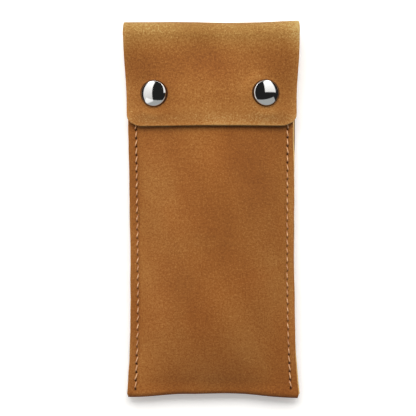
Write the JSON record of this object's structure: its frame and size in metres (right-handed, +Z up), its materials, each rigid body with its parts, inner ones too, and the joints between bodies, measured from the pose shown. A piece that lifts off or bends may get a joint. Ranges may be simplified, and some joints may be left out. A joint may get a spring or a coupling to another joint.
{
  "type": "soft pouch glasses case",
  "caption": "Soft leather glasses pouch: one folded, side-stitched strip with a fold-over flap that closes on two spring snaps.",
  "frame": {"origin": "middle of the closed pouch's outline, on the surface that it lies on", "axes": "+Z up, out of the front; +Y along the pouch, from the bottom fold to the top fold where the flap turns over; +X to the right of somebody who looks at the front"},
  "size_m": [0.0818, 0.176, 0.0195],
  "materials": {
    "leather": "waxed nubuck with a burnished fold and raw cut edges",
    "thread": "waxed twisted polyester",
    "snap_cap": "polished dark nickel plate",
    "snap_fitting": "satin nickel plate",
    "spring_wire": "drawn spring wire"
  },
  "bodies": {
    "pouch": {"pouch_strip": "leather", "left_stud": "snap_fitting", "left_stud_post": "snap_fitting", "left_seam_top_thread": "thread", "left_seam_bobbin_thread": "thread", "right_stud": "snap_fitting", "right_stud_post": "snap_fitting", "right_seam_top_thread": "thread", "right_seam_bobbin_thread": "thread"},
    "fold_lower": {"fold_strip_lower": "leather"},
    "fold_middle": {"fold_strip_middle": "leather"},
    "fold_upper": {"fold_strip_upper": "leather"},
    "flap": {"flap": "leather", "left_cap_shell": "snap_cap", "left_cap_post": "snap_fitting", "left_socket": "snap_fitting", "left_socket_spring": "spring_wire", "right_cap_shell": "snap_cap", "right_cap_post": "snap_fitting", "right_socket": "snap_fitting", "right_socket_spring": "spring_wire"}
  },
  "joints": [
    {"name": "flap_open", "type": "hinge", "parent": "pouch", "child": "fold_lower", "pos_m": [0, 0.08125, 0.0018], "axis": [-1, 0, 0], "range_deg": [0, 28], "deforming": ["left_socket_spring", "right_socket_spring"]},
    {"name": "fold_bend_lower", "type": "hinge", "parent": "fold_lower", "child": "fold_middle", "pos_m": [0, 0.0871, 0.00517], "axis": [-1, 0, 0], "range_deg": [0, 56]},
    {"name": "fold_bend_upper", "type": "hinge", "parent": "fold_middle", "child": "fold_upper", "pos_m": [0, 0.0871, 0.01192], "axis": [-1, 0, 0], "range_deg": [0, 56]},
    {"name": "fold_bend_flap", "type": "hinge", "parent": "fold_upper", "child": "flap", "pos_m": [0, 0.08125, 0.0153], "axis": [-1, 0, 0], "range_deg": [0, 28]}
  ],
  "couplings": [
    {"joint": "fold_bend_lower", "follows": "flap_open", "ratio": 2},
    {"joint": "fold_bend_upper", "follows": "flap_open", "ratio": 2},
    {"joint": "fold_bend_flap", "follows": "flap_open", "ratio": 1}
  ]
}
